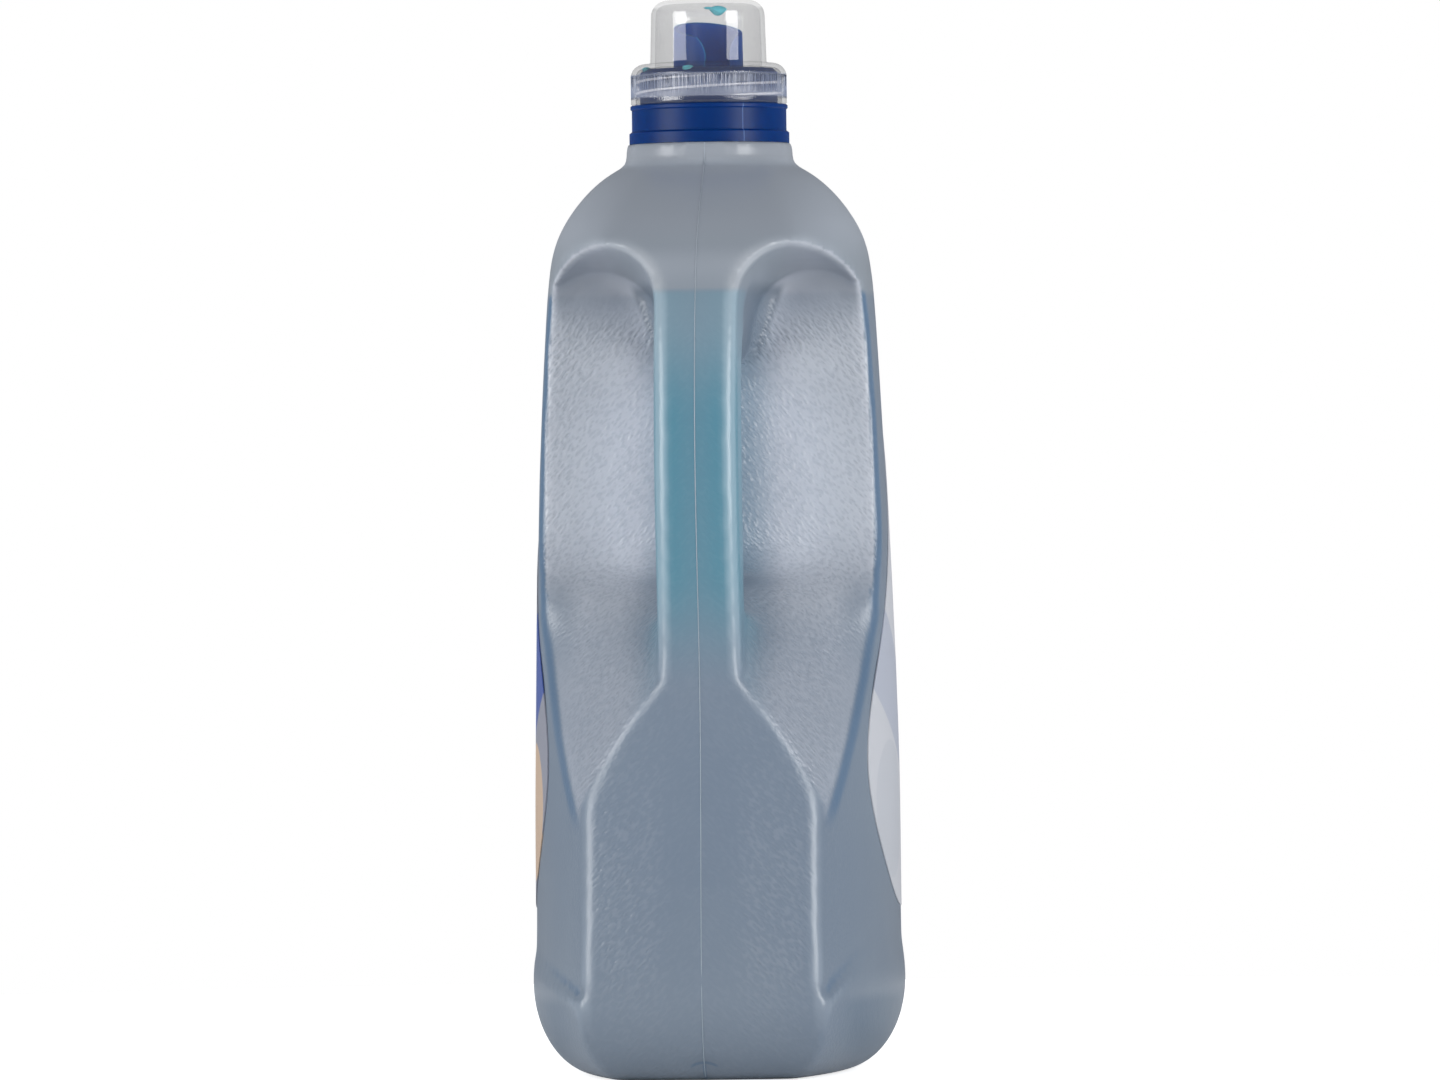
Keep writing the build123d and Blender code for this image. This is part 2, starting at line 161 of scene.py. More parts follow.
# Zones of the painted light on the recess walls, the flared facets and the end panel
OUTWARD_ZONE = (("side", 16, 28),)
INNER_FOOT_ZONE = (("z", 126, 152),)
OUTER_FOOT_ZONE = (("z", 104, 156),)
CORNER_ZONE = (("side", 36, 45), ("z", 154, 136))
FLARE_ZONE = (("z", 138, 112),)
PANEL_ZONE = (("x", 78, 84), ("side", 7, 17), ("side", 33, 27), ("z", 6, 40), ("z", 126, 100))
BY_RIM_ZONE = (("side", 20, 47), ("z", 136, 170))
SILL_ZONE = (("side", 16, 28), ("z", 126, 142), ("z", 166, 150))
WALL_TOP_ZONE = (("z", 196, 216), ("z", 230, 221), ("side", 17, 29))
WEB_ZONE = (("x", 58, 50), ("x", 8, 14), ("flared", -58, -60.5), ("z", 209, 217), ("z", 236, 232))
WEB_FLARE = 0.35
LOW_SIDE_ZONE = (("z", 26, 21), ("side", 36, 46))
HANDLE_RIDGE_ZONE = (("z", 118, 150),)
GRAIN_ZONE = (("z", 236, 215),)

# Shade on the walls beside the handle: a zone and how dark it is
SHADES = (
    ((("side", 23, 9),), 0.9),
    ((("z", 214, 229),), 0.15),
    ((("side", 21, 13), ("z", 204, 222)), 0.6),
)

# Pinch-off mark at the foot of the end: its line, and an arc that falls away to either side
PINCH_FOOT = (("x", 60, 64), ("z", 8, 7))
PINCH_LINE = (("side", 0.7, 0.3), ("z", 5.2, 4.6))
PINCH_ARC = (("away", 0.6, 0.2), ("side", 4.4, 3.2))
PINCH_Z = 5.6 * MM
PINCH_CURVE = 70.0

# Zones where the jug's skin is softened, and softened further
SOFT_ZONE = (("x", 2, 8), ("z", 24, 60), ("z", 268, 258))
FAR_WALL_ZONE = (("side", 11, 14), ("x", 8, 14))
RIB_RUN_OUT = (("side", 34, 28), ("x", 52, 46), ("z", 182, 192), ("z", 232, 226))
SILL_RUN_OUT = (("side", 49, 43), ("x", 60, 52), ("z", 122, 134), ("z", 170, 158))

# Half widths of the recess's foot at heights above the base, in millimetres: its ridge and its rim
FOOT_HEIGHTS = (72, 80, 89, 101, 116, 128, 142)
FOOT_RIDGE = (35.0, 34.5, 30.0, 21.5, 11.8, 10.0, 10.0)
FOOT_RIM = (35.6, 38.0, 40.4, 43.0, 45.5, 47.2, 50.0)
RIM_LINE_SHIFT = 0.6

# Zones of the marks on the jug's skin: places in millimetres, bends per millimetre, and which way it faces
ABOVE_FOOT_ZONE = (("z", 132, 142),)
SHARP_ZONE = (("turn", 0.035, 0.1),)
INSIDE_ZONE = (("ahead", 0.25, 0.5), ("z", 246, 236))
WALL_ZONE = (("x", 80, 66),)
FOOT_WALL_ZONE = (("past_ridge", 0.5, 2.5), ("to_rim", 0, 2), ("z", 71, 75))
OUTER_ZONE = (("side", 32, 37), ("out", 0.3, 0.5), ("x", 72, 64))
RIM_ZONE = (("z", 250, 240),)
FOOT_RIM_ZONE = (("off_rim", 1.8, 0.5), ("z", 72, 82), ("ahead", 0.1, 0.3))
HIGH_ZONE = (("z", 60, 80),)
UPRIGHT_ZONE = (("tilt", 0.5, 0.3),)
RIDGE_ZONE = (("z", 6, 30), ("z", 250, 240), ("x", 30, 45), ("ahead", 0.2, 0.45))
STEP_ZONE = (("hollow", 0.015, 0.06), ("z", 14, 18), ("z", 54, 50), ("side", 30, 36))
# Painted light: the downward faces under the arches, which the arches shade, are toned pale
UNDER_ZONE = (
    ("down", 0.1, 0.5), ("side", 20, 34), ("side", 52, 46),
    ("z", 215, 226), ("z", 252, 246), ("x", 16, 24),
)

# Pour spout: its tones, with painted light on the throat inside the cap, and its flash line's place in
# degrees from the handle and half width in radians
SPOUT_TONE = (0, 42, 104)
SPOUT_CLOUD = (2, 50, 114)
THROAT_LIGHT_TONE = (14, 72, 150)
FLASH_TONE = (96, 128, 186)
FLASH_TURN = 29.1
FLASH_HALF = (0.008, 0.003)
FLASH_SHARE = 0.7
FLASH_FADE = 1 * MM
THROAT_FADE = 2 * MM

# Dosing cap
SKIRT_R = cap_high.x
SKIRT_WALL = 1.4 * MM
SKIRT_ROUND = 4.0 * MM
SKIRT_EDGE = 0.25 * MM
CUP_R = 17.4 * MM
CUP_TOP_R = 17.0 * MM
CUP_ROUND = 4.6 * MM
CUP_WALL = 1.25 * MM
CUP_FOOT = 0.7 * MM
CUP_DISH = 0.1 * MM
DISH_SHARE = 0.4
LEDGE_Z = cap_low.z + 12.2 * MM
RIBS = 240
RIB_STEPS = 4
RIB_DEPTH = 0.22 * MM
RIB_SKIN = 0.1 * MM
RIB_FOOT = 0.2 * MM
RIB_HEAD = 0.3 * MM
RIB_LOW = cap_low.z + 1.9 * MM
RIB_HIGH = cap_low.z + 9.0 * MM
THREAD_LOW = cap_low.z + 1.6 * MM
THREAD_HIGH = cap_low.z + 8.6 * MM
THREAD_ROW = 0.3 * MM
THREAD_LEAD = 6.6 * MM
THREAD_STARTS = 2
THREAD_DEPTH = 0.4 * MM
THREAD_HALF = 0.55 * MM
THREAD_FLAT = 1.6

# Cloudiness of the cap: how much of each wall's surface hides what is behind it, where, in which tone and
# how rough, and the index that gives those thin walls the gloss of clear ones
CUP_HAZE = 0.14
SKIRT_HAZE = 0.34
THREAD_HAZE = 0.8
EDGE_HAZE = 0.3
EDGE_BLEND = 0.25
HAZE_EDGE = 0.5 * MM
THREAD_SPAN = (0.08 * MM, 0.3 * MM)
CUP_EDGE_SPAN = (0.9 * MM, 0.5 * MM)
RIB_HAZE_FLOOR = 0.55
CUP_CLOUD = (0.15, 0.155, 0.17, 1.0)
CLOUD_CHANGE = 1.15
SKIRT_CLOUD = (0.31, 0.38, 0.56, 1.0)
THREAD_CLOUD = (0.8, 0.79, 0.85, 1.0)
CUP_ROUGH = 0.05
SKIRT_ROUGH = 0.35
CAP_GLOSS_IOR = 3.2

# Residue in the cap: place from the cup's top or its ledge and half sizes, in millimetres, and seed
TOP_DROPS = {
    "residue_top": ((14.5, 3.9, -2.5), (1.0, 2.9, 1.5), 0.4),
    "residue_top_tail": ((15.0, 1.0, -1.7), (0.7, 1.5, 0.4), 2.1),
}
LEDGE_DROPS = {
    "residue_ledge_side": ((6.5, -18.1, -0.6), (1.8, 1.5, 0.9), 1.1),
    "residue_ledge_front": ((18.6, -5.0, -0.7), (1.2, 2.0, 1.0), 3.0),
}
RESIDUE_TONE = (92, 186, 204)
RESIDUE_CLOUD = (120, 206, 216)
LIQUID_TONE = (40, 120, 150)
LIQUID_SWIRL = (60, 145, 170)

# Unevenness of the drops: lumps, ripples, and how narrow their lower end is
LUMPS = 0.12
RIPPLES = 0.06
DROP_TIP = 0.45

# Clouds and fine grain in the finishes, per metre, and how strongly and deeply the grain shows
SEAM_CLOUDS = 260
SPOUT_CLOUDS = 70
SPOUT_GRAIN = 1500
SPOUT_GRAIN_SHARE = 0.12
CAP_CLOUDS = 120
RESIDUE_CLOUDS = 900
LIQUID_SWIRLS = 30
FILM_CLOUDS = 60
FILM_GRAIN = 700
FILM_GRAIN_SHARE = 0.05
FINE_GRAIN_HEIGHT = 0.1 * MM

# Prints of the label films as they look on screen: ground, slanted band and round
FRONT_PRINT = ((142, 145, 158), (70, 92, 158), (196, 172, 150))
BACK_PRINT = ((196, 199, 206), (172, 178, 192), (186, 190, 198))
GROUND_CHANGE = 0.94
BAND_SLANT = -0.55
BAND_ZONE = (("slant", 92, 93), ("slant", 126, 125))
ROUND_X = 20 * MM
ROUND_Z = 78 * MM
ROUND_ZONE = (("far", 21, 20),)

# Photograph's view
EYE_AZIMUTH = 93.43
EYE_Z = 158.4 * MM
EYE_DISTANCE = 3.5
EYE_REACH = 50
AIM_RIGHT = 1.65 * MM
ROLL = 0.0127
SENSOR = 36.0
VIEW_WIDTH = 0.2995 * MM * 1440

# Softboxes: degrees round from the camera, half angle and radiance, and the sizes of each pair in metres
LEFT_LAMP = {"turn": -61, "half_angle": 15, "radiance": 6.0}
RIGHT_LAMP = {"turn": 51, "half_angle": 13, "radiance": 7.3}
FRONT_SIZES = {"distance": 1.3, "height": 1.1, "middle_z": 0.3}
BACK_TURN = 140
BACK_LAMP = {"half_angle": 18, "radiance": 2.4, "in_gloss": False}
BACK_SIZES = {"distance": 1.5, "height": 1.3, "middle_z": 0.5}

# Backdrop and floor
AMBIENT = (0.2, 0.205, 0.215, 1.0)
WHITE = (1.0, 1.0, 1.0, 1.0)
FLOOR_TONE = (0.85, 0.85, 0.85, 1.0)
FLOOR_GLOW = 0.75
FLOOR_R = 0.7
FLOOR_SIDES = 96
FLOOR_DROP = 0.2 * MM


def linear(red, green, blue):
    """A display colour, 0 to 255, as the linear colour that shaders take."""
    shares = [channel / 255 for channel in (red, green, blue)]
    return tuple(s / 12.92 if s < 0.04045 else ((s + 0.055) / 1.055) ** 2.4 for s in shares) + (1.0,)


class Finish:
    """A node material with a Principled shader, and short calls for the nodes that feed it."""

    def __init__(self, name, **sockets):
        self.material = bpy.data.materials.new(name)
        self.material.use_nodes = True
        self.tree = self.material.node_tree
        self.shader = self.tree.nodes["Principled BSDF"]
        self.output = self.tree.nodes["Material Output"]
        for socket, value in sockets.items():
            self.shader.inputs[socket.replace("_", " ")].default_value = value
        self.place = self.node("ShaderNodeTexCoord").outputs["Object"]

    def node(self, kind, **settings):
        made = self.tree.nodes.new(kind)
        for key, value in settings.items():
            setattr(made, key, value)
        return made

    def feed(self, socket, value):
        if isinstance(value, bpy.types.NodeSocket):
            self.tree.links.new(value, socket)
        else:
            socket.default_value = value

    def math(self, operation, *values):
        made = self.node("ShaderNodeMath", operation=operation)
        for socket, value in zip(made.inputs, values):
            self.feed(socket, value)
        return made.outputs[0]

    def axes(self):
        split = self.node("ShaderNodeSeparateXYZ")
        self.feed(split.inputs[0], self.place)
        return split.outputs

    def ramp(self, value, low, high):
        """A smooth step from 0 at low to 1 at high."""
        made = self.node("ShaderNodeMapRange", interpolation_type="SMOOTHSTEP")
        self.feed(made.inputs["Value"], value)
        made.inputs["From Min"].default_value = low
        made.inputs["From Max"].default_value = high
        return made.outputs["Result"]

    def both(self, *masks):
        """The product of some masks and shares."""
        total = masks[0]
        for mask in masks[1:]:
            total = self.math("MULTIPLY", total, mask)
        return total

    def most(self, *masks):
        """The greatest of some masks."""
        total = masks[0]
        for mask in masks[1:]:
            total = self.math("MAXIMUM", total, mask)
        return total

    def less(self, mask, share):
        """One, less a share of a mask."""
        return self.math("SUBTRACT", 1.0, self.math("MULTIPLY", mask, share))

    def zone(self, axes, spans):
        """Where every axis is past its span in millimetres: a region with soft edges."""
        return self.both(*[self.ramp(axes[axis], low * MM, high * MM) for axis, low, high in spans])

    def mix(self, share, first, second):
        """A mix of two tones, each a socket, a display colour of three numbers or a linear one of four."""
        made = self.node("ShaderNodeMix", data_type="RGBA")
        self.feed(made.inputs["Factor"], share)
        for socket, tone in (("A", first), ("B", second)):
            shown = isinstance(tone, tuple) and len(tone) == 3
            self.feed(made.inputs[socket], linear(*tone) if shown else tone)
        return [socket for socket in made.outputs if socket.type == "RGBA"][0]

    def vector(self, *values):
        made = self.node("ShaderNodeCombineXYZ")
        for socket, value in zip(made.inputs, values):
            self.feed(socket, value)
        return made.outputs[0]

    def noise(self, scale, detail=2.0, place=None):
        made = self.node("ShaderNodeTexNoise")
        self.feed(made.inputs["Vector"], place or self.place)
        made.inputs["Scale"].default_value = scale
        made.inputs["Detail"].default_value = detail
        return made.outputs["Fac"]

    def cells(self, scale, place):
        made = self.node("ShaderNodeTexVoronoi", feature="SMOOTH_F1")
        self.feed(made.inputs["Vector"], place)
        made.inputs["Scale"].default_value = scale
        return made.outputs["Distance"]

    def attribute(self, name):
        return self.node("ShaderNodeAttribute", attribute_name=name).outputs["Fac"]

    def colour(self, value):
        self.feed(self.shader.inputs["Base Color"], value)

    def bump(self, height, strength, distance):
        made = self.node("ShaderNodeBump")
        self.feed(made.inputs["Height"], height)
        self.feed(made.inputs["Strength"], strength)
        made.inputs["Distance"].default_value = distance
        self.feed(self.shader.inputs["Normal"], made.outputs["Normal"])


def jug_axes(finish):
    """Where a place on the jug lies: towards the handle, to either side, up, and out from the flared web."""
    x, y, z = finish.axes()
    side = finish.math("ABSOLUTE", y)
    flared = finish.math("SUBTRACT", side, finish.math("MULTIPLY", z, WEB_FLARE))
    return {"x": x, "side": side, "z": z, "flared": flared}


def pinch_mark(finish, axes):
    """The line and the shallow arc at the foot of the end, where the mould pinched the plastic off."""
    side = axes["side"]
    rise = finish.math("MULTIPLY", finish.math("MULTIPLY", side, side), PINCH_CURVE)
    away = finish.math("SUBTRACT", finish.math("ADD", axes["z"], rise), PINCH_Z)
    arc_axes = {"away": finish.math("ABSOLUTE", away), "side": side}
    drawn = finish.most(finish.zone(axes, PINCH_LINE), finish.zone(arc_axes, PINCH_ARC))
    return finish.both(finish.zone(axes, PINCH_FOOT), drawn, PINCH_SHARE)


def dry_plastic(finish, axes):
    """Grey above the liquid: painted light on the shoulder and under the arches, duller on the neck."""
    tone = finish.mix(finish.zone(axes, SHOULDER_ZONE), DRY_TONE, SHOULDER_LIGHT_TONE)
    tone = finish.mix(finish.zone(axes, NECK_ZONE), tone, NECK_TONE)
    return finish.mix(finish.both(finish.attribute("under"), UNDER_LIGHT_SHARE), tone, PAINTED_LIGHT_TONE)


def recess_walls(finish, axes, recess, corner, tone):
    """Painted light on the walls beside the handle: pale, paler by their rim, on the sill and at their top.
    """
    outward = finish.zone(axes, OUTWARD_ZONE)
    inner = finish.both(finish.zone(axes, INNER_FOOT_ZONE), finish.less(outward, 1.0))
    outer = finish.both(finish.zone(axes, OUTER_FOOT_ZONE), outward)
    foot = finish.math("ADD", inner, outer)
    pale = finish.both(recess, foot, finish.less(corner, CORNER_LOSS), PAINTED_LIGHT_SHARE)
    sill = finish.both(finish.zone(axes, SILL_ZONE), SILL_LIGHT_SHARE)
    wall = finish.mix(finish.most(finish.zone(axes, BY_RIM_ZONE), sill), PAINTED_LIGHT_TONE, PAINTED_RIM_LIGHT_TONE)
    wall = finish.mix(finish.both(finish.zone(axes, WALL_TOP_ZONE), WALL_TOP_LIGHT_SHARE), wall, WALL_TOP_LIGHT_TONE)
    return finish.mix(pale, tone, wall)


def recess_shade(finish, axes):
    """How shaded the walls beside the handle are."""
    return finish.most(*[finish.both(finish.zone(axes, spans), share) for spans, share in SHADES])


def handle_teal(finish, axes, wet, tone):
    """The liquid's teal in the thin handle, weaker along its middle and paler at its top."""
    middle = finish.less(finish.zone(axes, TEAL_MIDDLE), TEAL_MIDDLE_LOSS)
    teal = finish.mix(finish.zone(axes, TEAL_TOP_ZONE), TEAL_TONE, TEAL_TOP_TONE)
    return finish.mix(finish.both(finish.zone(axes, TEAL_ZONE), wet, middle), tone, teal)


def mould_grain(finish, axes, share, tone):
    """Slanted wrinkles, with painted shade in their hollows and a painted highlight on their crests."""
    side, z = axes["side"], axes["z"]
    along = finish.math("MULTIPLY", finish.math("SUBTRACT", side, z), GRAIN_STRETCH)
    slanted = finish.vector(axes["x"], finish.math("ADD", side, z), along)
    wrinkles = finish.math("MULTIPLY", finish.cells(GRAIN, slanted), WRINKLE_HEIGHT)
    patches = finish.math("MULTIPLY", finish.noise(PATCH_SCALE * GRAIN, 3.0, slanted), PATCH_HEIGHT)
    height = finish.math("ADD", wrinkles, patches)
    finish.bump(height, share, GRAIN_HEIGHT)
    tone = finish.mix(finish.both(finish.ramp(height, *HOLLOW_SPAN), share, HOLLOW_SHADE_SHARE), tone, WET_AND_HOLLOW_SHADE_TONE)
    return finish.mix(finish.both(finish.ramp(height, *CREST_SPAN), share, CREST_HIGHLIGHT_SHARE), tone, PAINTED_LIGHT_TONE)


def jug_plastic():
    """Pearly plastic: grey above the liquid, blue-grey over it, teal where the handle is thin, with painted
    light, shade and highlights on and round the recess.
    """
    finish = Finish("jug_plastic", Roughness=0.3, IOR=1.5)
    axes = jug_axes(finish)
    wet = finish.ramp(axes["z"], liquid_z + LEVEL_SOFTNESS, liquid_z - LEVEL_SOFTNESS)
    recess, rim, ridge = [finish.attribute(name) for name in ("recess", "rim", "ridge")]
    corner = finish.zone(axes, CORNER_ZONE)
    panel = finish.zone(axes, PANEL_ZONE)
    clouds = finish.ramp(finish.noise(CLOUD_SCALE, 3.0), *CLOUD_SPAN)
    tone = finish.mix(wet, dry_plastic(finish, axes), finish.mix(clouds, WET_AND_HOLLOW_SHADE_TONE, WET_CLOUD))
    # Painted light: a faint pale tone on the end panel
    tone = finish.mix(finish.both(panel, PANEL_LIGHT_SHARE), tone, PAINTED_LIGHT_TONE)
    # Painted highlight: the flared facets below the walls are toned pale, as the softboxes' sheen makes them
    tone = finish.mix(finish.both(recess, finish.zone(axes, FLARE_ZONE), FLARE_HIGHLIGHT_SHARE), tone, PAINTED_LIGHT_TONE)
    tone = recess_walls(finish, axes, recess, corner, tone)
    tone = finish.mix(finish.both(recess, wet, recess_shade(finish, axes)), tone, SHADE_TONE)
    # Painted shade on the web and wall beside the top of the handle, where the lamps would light them
    tone = finish.mix(finish.both(finish.zone(axes, WEB_ZONE), WEB_SHADE_SHARE), tone, WEB_SHADE_TONE)
    tone = finish.mix(finish.zone(axes, LOW_SIDE_ZONE), tone, BASE_TONE)
    # Painted shade: a dark line along the rim of the recess and on the step near the base; the same tone
    # draws the pinch-off mark
    tone = finish.mix(finish.most(finish.both(rim, wet), pinch_mark(finish, axes)), tone, RIM_SHADE_AND_MARK_TONE)
    tone = handle_teal(finish, axes, wet, tone)
    # Painted highlight along the ridges: the softboxes' sheen on their rounded edges, bluer below the liquid
    ridge_highlight = finish.mix(finish.zone(axes, HANDLE_RIDGE_ZONE), FOOT_RIDGE_HIGHLIGHT_TONE, RIDGE_HIGHLIGHT_TONE)
    ridge_highlight = finish.mix(wet, DRY_RIDGE_HIGHLIGHT_TONE, ridge_highlight)
    tone = finish.mix(finish.both(ridge, RIDGE_HIGHLIGHT_SHARE), tone, ridge_highlight)
    coarse = finish.math("MULTIPLY", finish.most(recess, panel), 1.0 - GRAIN_FLOOR)
    grain = finish.both(
        finish.zone(axes, GRAIN_ZONE),
        finish.less(corner, CORNER_LOSS),
        finish.less(ridge, RIDGE_SMOOTHING),
        finish.math("ADD", GRAIN_FLOOR, coarse),
    )
    finish.colour(mould_grain(finish, axes, grain, tone))
    return finish.material


def seam_plastic():
    """The parting line: the jug's plastic, a little paler where it stands proud."""
    finish = Finish("seam_plastic", Roughness=0.4, IOR=1.5)
    _, _, z = finish.axes()
    wet = finish.ramp(z, liquid_z + SEAM_SOFTNESS, liquid_z - SEAM_SOFTNESS)
    tone = finish.mix(wet, SEAM_DRY_TONE, SEAM_WET_TONE)
    finish.colour(finish.mix(finish.noise(SEAM_CLOUDS), tone, SEAM_CLOUD))
    return finish.material


def spout_blue():
    """Satin deep blue moulded plastic with a thin flash line down its skirt."""
    finish = Finish(
        "spout_blue", Roughness=0.4, IOR=1.46, Specular_IOR_Level=0.2,
        Subsurface_Weight=0.7, Subsurface_Radius=(0.3, 0.6, 1.0), Subsurface_Scale=7 * MM,
    )
    x, y, z = finish.axes()
    turn = finish.math("SUBTRACT", finish.math("ARCTAN2", y, x), math.radians(FLASH_TURN))
    beside = finish.ramp(finish.math("ABSOLUTE", turn), *FLASH_HALF)
    flash = finish.both(beside, finish.ramp(z, cap_low.z, cap_low.z - FLASH_FADE), FLASH_SHARE)
    tone = finish.mix(finish.noise(SPOUT_CLOUDS, 3.0), SPOUT_TONE, SPOUT_CLOUD)
    # Painted light: a brighter blue on the throat inside the cap, which the cloudy cup leaves dim
    tone = finish.mix(finish.ramp(z, LEDGE_Z - THROAT_FADE, LEDGE_Z), tone, THROAT_LIGHT_TONE)
    finish.colour(finish.mix(flash, tone, FLASH_TONE))
    finish.bump(finish.noise(SPOUT_GRAIN), SPOUT_GRAIN_SHARE, FINE_GRAIN_HEIGHT)
    return finish.material


def cap_clear():
    """Clear cloudy plastic, glossy; cloudier over the ribs of the skirt and palest along its thread."""
    finish = Finish("cap_clear", Roughness=CUP_ROUGH, IOR=CAP_GLOSS_IOR)
    x, y, z = finish.axes()
    square = finish.math("ADD", finish.math("MULTIPLY", x, x), finish.math("MULTIPLY", y, y))
    reach = finish.math("SQRT", square)
    turn = finish.math("MULTIPLY", finish.math("ARCTAN2", y, x), float(RIBS))
    stripe = finish.math("MULTIPLY", finish.math("ADD", finish.math("COSINE", turn), 1.0), 0.5)
    skirt = finish.both(
        finish.ramp(z, RIB_LOW - HAZE_EDGE, RIB_LOW + HAZE_EDGE),
        finish.ramp(z, RIB_HIGH + HAZE_EDGE, RIB_HIGH - HAZE_EDGE),
    )
    inner = SKIRT_R - SKIRT_WALL
    thread = finish.both(
        finish.ramp(reach, *[inner - depth for depth in THREAD_SPAN]),
        finish.ramp(z, THREAD_HIGH + HAZE_EDGE, THREAD_HIGH),
    )
    rough = finish.math("ADD", CUP_ROUGH, finish.math("MULTIPLY", skirt, SKIRT_ROUGH))
    finish.feed(finish.shader.inputs["Roughness"], rough)
    striped = finish.math("ADD", RIB_HAZE_FLOOR, finish.math("MULTIPLY", stripe, 1.0 - RIB_HAZE_FLOOR))
    ribbed = finish.both(skirt, striped)
    changed = tuple(CLOUD_CHANGE * c for c in CUP_CLOUD)
    cloud = finish.mix(finish.noise(CAP_CLOUDS, 3.0), CUP_CLOUD, changed)
    finish.colour(finish.mix(thread, finish.mix(ribbed, cloud, SKIRT_CLOUD), THREAD_CLOUD))
    facing = finish.node("ShaderNodeLayerWeight")
    facing.inputs["Blend"].default_value = EDGE_BLEND
    haze = finish.math("ADD", CUP_HAZE, finish.math("MULTIPLY", ribbed, SKIRT_HAZE - CUP_HAZE))
    haze = finish.most(haze, finish.math("MULTIPLY", thread, THREAD_HAZE))
    outer = finish.ramp(reach, *[CUP_TOP_R - depth for depth in CUP_EDGE_SPAN])
    haze = finish.math("ADD", haze, finish.both(facing.outputs["Facing"], outer, EDGE_HAZE))
    clear = finish.node("ShaderNodeBsdfTransparent")
    blend = finish.node("ShaderNodeMixShader")
    finish.feed(blend.inputs["Fac"], haze)
    finish.feed(blend.inputs[1], clear.outputs["BSDF"])
    finish.feed(blend.inputs[2], finish.shader.outputs["BSDF"])
    finish.feed(finish.output.inputs["Surface"], blend.outputs[0])
    return finish.material


def residue_teal():
    """Drops of detergent left in the cap."""
    finish = Finish("residue_teal", Roughness=0.12, IOR=1.38)
    finish.colour(finish.mix(finish.noise(RESIDUE_CLOUDS), RESIDUE_TONE, RESIDUE_CLOUD))
    return finish.material


def liquid_blue():
    """The detergent itself, blue-teal, with slow swirls."""
    finish = Finish("liquid_blue", Roughness=0.08, IOR=1.36)
    finish.colour(finish.mix(finish.noise(LIQUID_SWIRLS, 4.0), LIQUID_TONE, LIQUID_SWIRL))
    return finish.material


def label_film(name, ground, band, patch):
    """Satin film with a plain print: a slanted band and a round."""
    finish = Finish(name, Roughness=0.42, IOR=1.5)
    x, _, z = finish.axes()
    far = finish.math("POWER", finish.math("SUBTRACT", x, ROUND_X), 2.0)
    far = finish.math("ADD", far, finish.math("POWER", finish.math("SUBTRACT", z, ROUND_Z), 2.0))
    slant = finish.math("ADD", z, finish.math("MULTIPLY", x, BAND_SLANT))
    axes = {"slant": slant, "far": finish.math("SQRT", far)}
    plain = linear(*ground)
    changed = tuple(GROUND_CHANGE * c for c in plain)
    tone = finish.mix(finish.noise(FILM_CLOUDS), plain, changed)
    tone = finish.mix(finish.zone(axes, BAND_ZONE), tone, band)
    finish.colour(finish.mix(finish.zone(axes, ROUND_ZONE), tone, patch))
    finish.bump(finish.noise(FILM_GRAIN), FILM_GRAIN_SHARE, FINE_GRAIN_HEIGHT)
    return finish.material


def new_piece(name, mesh, finish, smooth=True):
    """A piece at the origin with its own mesh and finish."""
    piece = bpy.data.objects.new(name, mesh)
    bpy.context.scene.collection.objects.link(piece)
    piece.data.materials.clear()
    piece.data.materials.append(finish)
    piece.data.polygons.foreach_set("use_smooth", [smooth] * len(piece.data.polygons))
    return piece


def evaluated(piece):
    """The piece with its modifiers turned into plain faces."""
    graph = bpy.context.evaluated_depsgraph_get()
    mesh = bpy.data.meshes.new_from_object(piece.evaluated_get(graph), depsgraph=graph)
    piece.modifiers.clear()
    old = piece.data
    piece.data = mesh
    bpy.data.meshes.remove(old)
    return piece


def mesh_of(shape, name):
    """A mesh from a worked shape, which is then let go."""
    mesh = bpy.data.meshes.new(name)
    shape.to_mesh(mesh)
    shape.free()
    return mesh


def island(shape, start):
    """The vertices that edges join to a first one."""
    found, edge = {start}, [start]
    while edge:
        vertex = edge.pop()
        for link in vertex.link_edges:
            other = link.other_vert(vertex)
            if other not in found:
                found.add(other)
                edge.append(other)
    return found


def jug_skins():
    """The jug's outer and inner skin as two closed volumes, parted at the rim of the neck."""
    skins = []
    for keep_outer in (True, False):
        shape = bmesh.new()
        shape.from_mesh(nodes["bottle"].data)
        bmesh.ops.remove_doubles(shape, verts=shape.verts, dist=MERGE)
        level = [f for f in shape.faces if f.normal.z > LEVEL_FACE]
        rim = [f for f in level if f.calc_center_median().z > neck_top - RIM_BAND]
        bmesh.ops.delete(shape, geom=rim, context="FACES")
        outer = island(shape, min(shape.verts, key=lambda v: v.co.z))
        unwanted = [v for v in shape.verts if (v in outer) != keep_outer]
        bmesh.ops.delete(shape, geom=unwanted, context="VERTS")
        lips = [e for e in shape.edges if e.is_boundary]
        if not keep_outer:
            raised = bmesh.ops.extrude_edge_only(shape, edges=lips)["geom"]
            lifted = [g for g in raised if isinstance(g, bmesh.types.BMVert)]
            bmesh.ops.translate(shape, verts=lifted, vec=(0, 0, CAVITY_RISE))
            lips = [e for e in shape.edges if e.is_boundary]
        bmesh.ops.edgeloop_fill(shape, edges=lips)
        bmesh.ops.recalc_face_normals(shape, faces=shape.faces)
        skins.append(mesh_of(shape, "skin"))
    return skins


def edge_links(mesh):
    """The two ends of every edge."""
    links = np.empty(len(mesh.edges) * 2, dtype=np.int64)
    mesh.edges.foreach_get("vertices", links)
    return links.reshape(-1, 2).T


